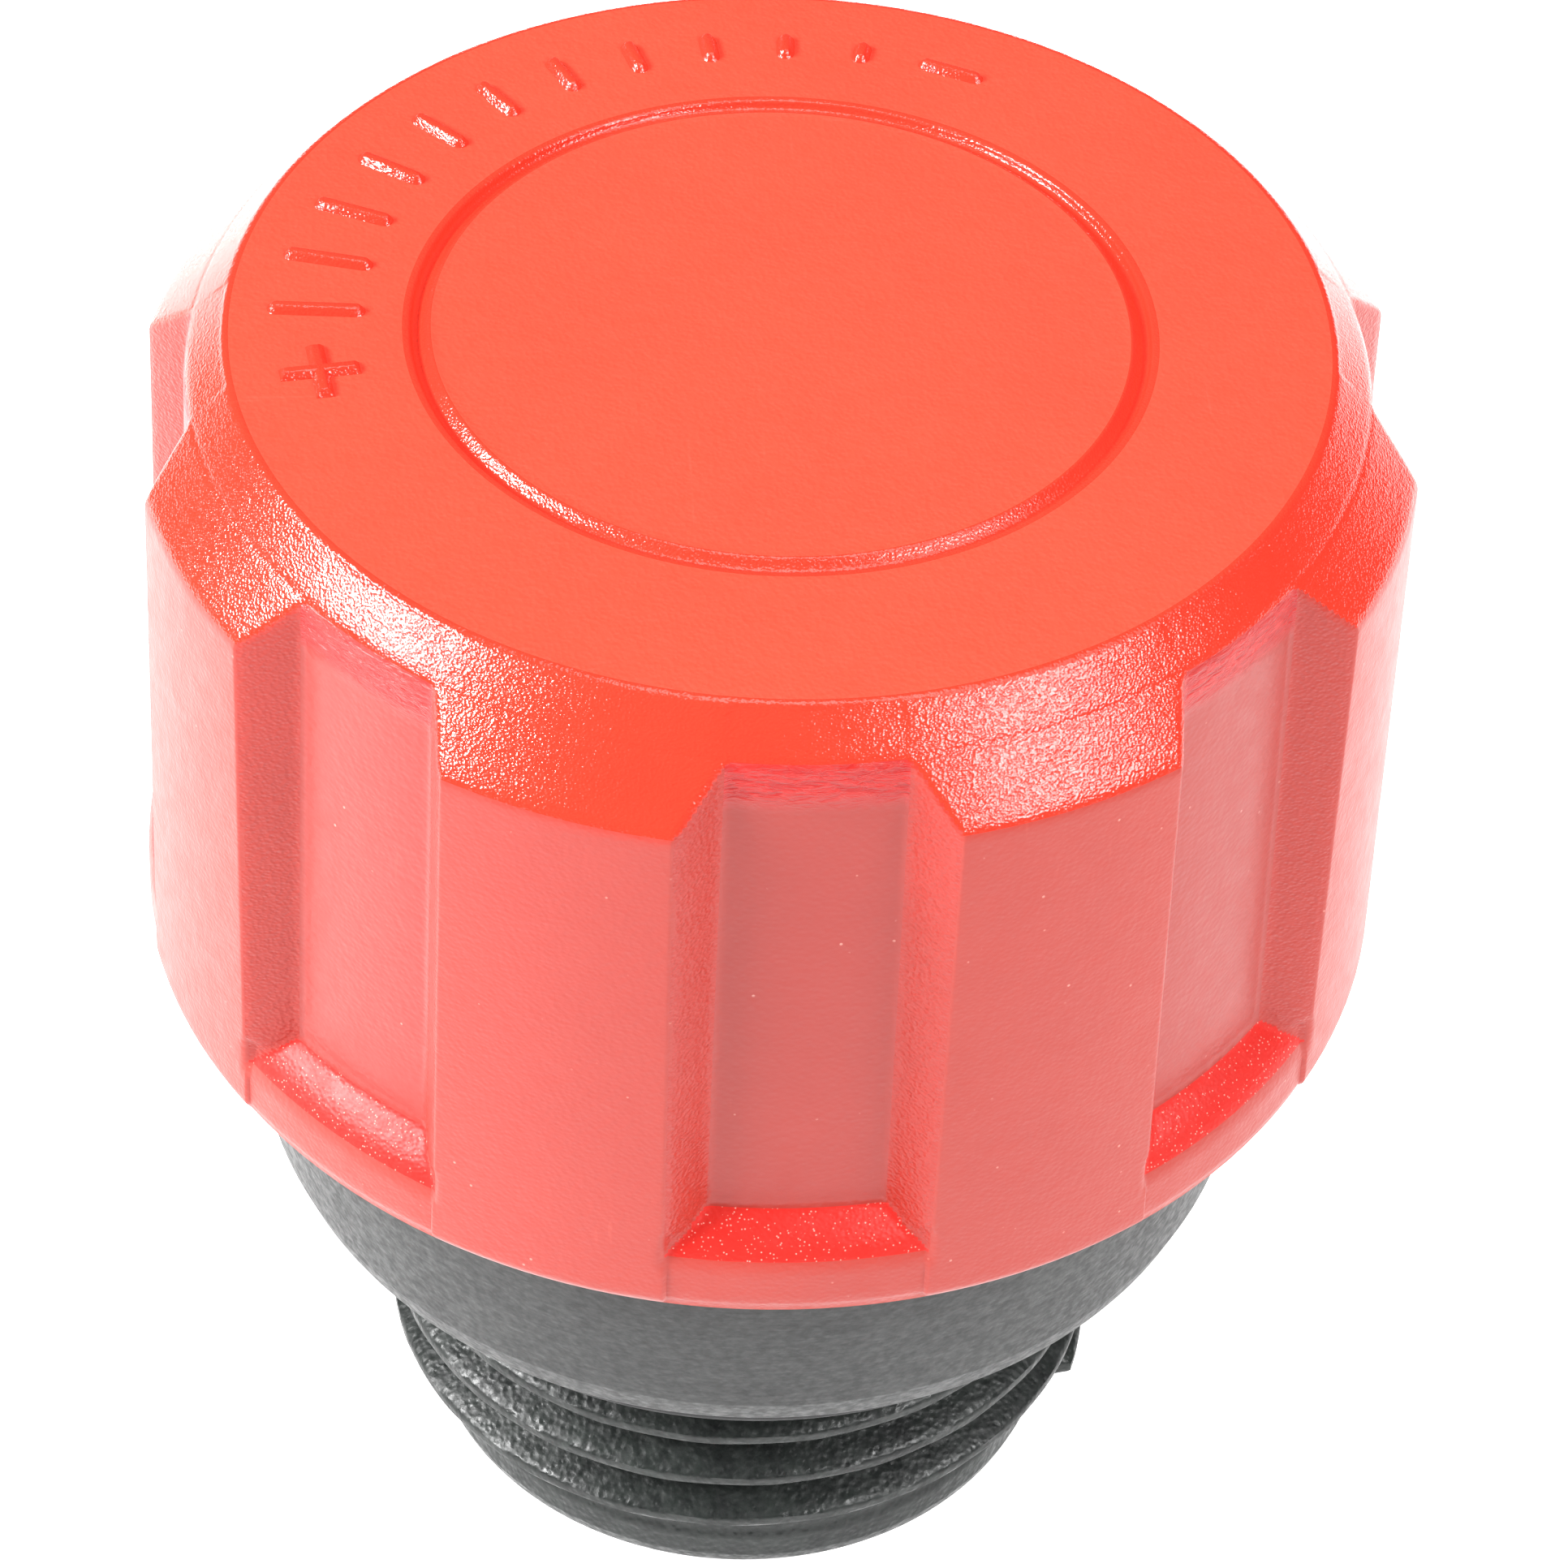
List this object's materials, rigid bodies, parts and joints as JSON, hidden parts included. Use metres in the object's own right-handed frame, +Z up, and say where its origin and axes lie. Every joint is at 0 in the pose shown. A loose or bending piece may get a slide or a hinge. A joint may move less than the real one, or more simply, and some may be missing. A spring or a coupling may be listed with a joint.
{
  "type": "adjustable drip emitter",
  "caption": "Adjustable drip emitter: a fluted red screw cap over a tapered black collar and a male-threaded spigot; turning the cap lifts a metering needle off its seat.",
  "frame": {"origin": "centre of the flat end face of the threaded spigot, the lowest face of the part", "axes": "+Z up the common axis of spigot, neck and cap towards the cap's top; -Y through the middle of one flute of the cap at rest"},
  "size_m": [0.0346, 0.0346, 0.0396],
  "materials": {
    "red_moulding": "spark-eroded matte on top, satin on the ribs",
    "black_moulding": "satin, slightly mottled",
    "black_rubber": "matte",
    "silicone": "soft satin, milky",
    "natural_acetal": "semi-gloss, off-white",
    "grey_acetal": "semi-gloss",
    "stainless": "drawn or brushed",
    "stainless_mesh": "fine woven wire",
    "brass": "turned",
    "bearing_bronze": "lined, dull"
  },
  "bodies": {
    "body": {"threaded_body": "black_moulding", "thread_gasket": "black_rubber", "strainer_lock_ring": "stainless", "strainer_basket": "natural_acetal", "strainer_mesh": "stainless_mesh", "diaphragm_cage": "natural_acetal", "compensating_diaphragm": "silicone", "labyrinth_disc": "natural_acetal", "nozzle_seat": "brass", "nozzle_o_ring": "black_rubber", "outlet_flap_sleeve": "silicone", "cap_o_ring": "black_rubber", "return_spring": "stainless", "guide_bush": "natural_acetal", "guide_circlip": "stainless"},
    "plunger": {"metering_plunger": "grey_acetal", "metering_needle": "stainless", "plunger_o_ring": "black_rubber", "thrust_washer": "bearing_bronze", "swivel_clip": "stainless"},
    "cap": {"screw_cap": "red_moulding"}
  },
  "joints": [
    {"name": "plunger_lift", "type": "slide", "parent": "body", "child": "plunger", "axis": [0, 0, 1], "range_m": [0, 0.0025], "deforming": ["return_spring"]},
    {"name": "cap_turn", "type": "hinge", "parent": "plunger", "child": "cap", "pos_m": [0, 0, 0.03], "axis": [0, 0, 1], "range_deg": [0, 450]}
  ],
  "couplings": [
    {"joint": "plunger_lift", "follows": "cap_turn", "m_per_rad": 0.0003183}
  ]
}
